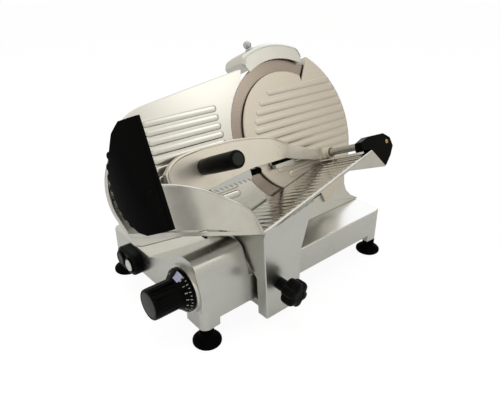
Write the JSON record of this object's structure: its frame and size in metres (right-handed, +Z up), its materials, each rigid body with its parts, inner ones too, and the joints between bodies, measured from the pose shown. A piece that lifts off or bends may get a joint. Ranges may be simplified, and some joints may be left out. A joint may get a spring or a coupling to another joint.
{
  "type": "gravity feed food slicer",
  "caption": "Tilted round-blade food slicer: ribbed gauge plate on a dial, sliding tray with a swinging pusher, guard and sharpener, on a cast base with feet.",
  "frame": {"origin": "on the worktop, at the middle of the four feet", "axes": "+X along the slicing stroke from the operator's end, +Y to the back where the slices fall, +Z up"},
  "size_m": [0.4878, 0.3443, 0.377],
  "materials": {
    "cast_aluminium": "polished cast and anodised aluminium",
    "plate_aluminium": "ribbed anodised plate",
    "blade_steel": "ground and polished blade steel",
    "steel": "bright steel",
    "sheet_steel": "brushed stainless sheet",
    "black_plastic": "black moulded plastic",
    "white_plastic": "white moulded plastic",
    "black_button": "black moulded plastic",
    "rubber": "black rubber",
    "bronze": "sintered bronze",
    "brass": "brass screw",
    "stone": "bonded abrasive",
    "motor_paint": "black painted motor casing",
    "dark_steel": "dark turned steel"
  },
  "bodies": {
    "base": {"base_housing": "cast_aluminium", "bottom_plate": "sheet_steel", "front_left_foot": "rubber", "front_right_foot": "rubber", "rear_left_foot": "rubber", "rear_right_foot": "rubber", "cable_gland": "rubber", "switch_housing": "black_plastic", "slide_rod": "steel", "gauge_rod": "steel", "front_bearing": "steel", "rear_bearing": "steel", "drive_belt": "rubber", "motor": "motor_paint", "motor_mount": "dark_steel", "blade_housing": "cast_aluminium", "drive_housing": "cast_aluminium", "slice_deflector": "sheet_steel", "blade_cover": "plate_aluminium", "cover_tie_rod": "steel", "sharpener_bracket": "cast_aluminium"},
    "carriage": {"carriage_arm": "cast_aluminium", "carriage_post": "cast_aluminium", "slide_block": "cast_aluminium", "left_slide_bush": "bronze", "right_slide_bush": "bronze", "food_tray": "plate_aluminium", "hand_guard": "black_plastic", "guard_rivets": "steel", "pusher_rod": "steel", "rod_end_block": "black_plastic", "end_screw": "brass"},
    "arm_knob": {"star_knob": "black_plastic", "knob_stud": "steel"},
    "gauge": {"gauge_plate": "plate_aluminium", "gauge_bracket": "cast_aluminium"},
    "dial": {"gauge_dial": "black_plastic", "dial_spindle": "steel", "dial_cam": "dark_steel"},
    "blade_rotor": {"blade": "blade_steel", "blade_shaft": "dark_steel", "blade_screws": "steel", "blade_pulley": "cast_aluminium"},
    "motor_rotor": {"motor_shaft": "steel", "motor_pulley": "dark_steel"},
    "cover_knob": {"tie_rod_knob": "black_plastic"},
    "sharpener": {"sharpener_hood": "cast_aluminium", "sharpener_knob": "steel"},
    "grinder": {"grinding_stone": "stone", "grinding_button": "black_plastic"},
    "honer": {"honing_stone": "stone", "honing_button": "black_plastic"},
    "start_push": {"start_button": "white_plastic"},
    "stop_push": {"stop_button": "black_button"},
    "pusher_slide": {"pusher_bush": "bronze"},
    "pusher": {"pusher_plate": "cast_aluminium", "pusher_teeth": "steel", "rubber_buffers": "rubber", "buffer_block": "cast_aluminium", "pusher_handle": "black_plastic"}
  },
  "joints": [
    {"name": "carriage_stroke", "type": "slide", "parent": "base", "child": "carriage", "axis": [1, 0, 0], "range_m": [0, 0.2]},
    {"name": "arm_knob_turn", "type": "hinge", "parent": "carriage", "child": "arm_knob", "pos_m": [-0.081, -0.16, 0.072], "axis": [0, -1, 0], "continuous": true},
    {"name": "gauge_opening", "type": "slide", "parent": "base", "child": "gauge", "axis": [0, 1, 0], "range_m": [0, 0.015]},
    {"name": "dial_turn", "type": "hinge", "parent": "base", "child": "dial", "pos_m": [-0.21, -0.0906, 0.0838], "axis": [1, 0, 0], "range_deg": [0, 300]},
    {"name": "blade_spin", "type": "hinge", "parent": "base", "child": "blade_rotor", "pos_m": [0.0826, 0.00873, 0.22395], "axis": [0, -0.9063, 0.4226], "continuous": true},
    {"name": "motor_spin", "type": "hinge", "parent": "base", "child": "motor_rotor", "pos_m": [0.1226, 0.03268, 0.13334], "axis": [0, -0.9063, 0.4226], "continuous": true},
    {"name": "cover_knob_turn", "type": "hinge", "parent": "base", "child": "cover_knob", "pos_m": [0.0826, 0.07489, 0.1931], "axis": [0, -0.9063, 0.4226], "continuous": true},
    {"name": "sharpener_lift", "type": "slide", "parent": "base", "child": "sharpener", "axis": [0, 0.4226, 0.9063], "range_m": [0, 0.025]},
    {"name": "grinding_push", "type": "slide", "parent": "sharpener", "child": "grinder", "axis": [0, -0.9063, 0.4226], "range_m": [0, 0.002], "stiffness_N_per_m": 400, "springref_m": -0.003},
    {"name": "honing_push", "type": "slide", "parent": "sharpener", "child": "honer", "axis": [0, -0.9063, 0.4226], "range_m": [0, 0.002], "stiffness_N_per_m": 400, "springref_m": -0.003},
    {"name": "start_press", "type": "slide", "parent": "base", "child": "start_push", "axis": [1, 0, 0], "range_m": [0, 0.002], "stiffness_N_per_m": 400, "springref_m": -0.002},
    {"name": "stop_press", "type": "slide", "parent": "base", "child": "stop_push", "axis": [1, 0, 0], "range_m": [0, 0.002], "stiffness_N_per_m": 400, "springref_m": -0.002},
    {"name": "pusher_feed", "type": "slide", "parent": "carriage", "child": "pusher_slide", "axis": [0, -0.9063, 0.4226], "range_m": [0, 0.058]},
    {"name": "pusher_swing", "type": "hinge", "parent": "pusher_slide", "child": "pusher", "pos_m": [0.1326, -0.05098, 0.19055], "axis": [0, -0.9063, 0.4226], "range_deg": [-60, 0]}
  ],
  "couplings": [
    {"joint": "dial_turn", "follows": "gauge_opening", "rad_per_m": 349.06},
    {"joint": "motor_spin", "follows": "blade_spin", "ratio": 3.3333}
  ]
}
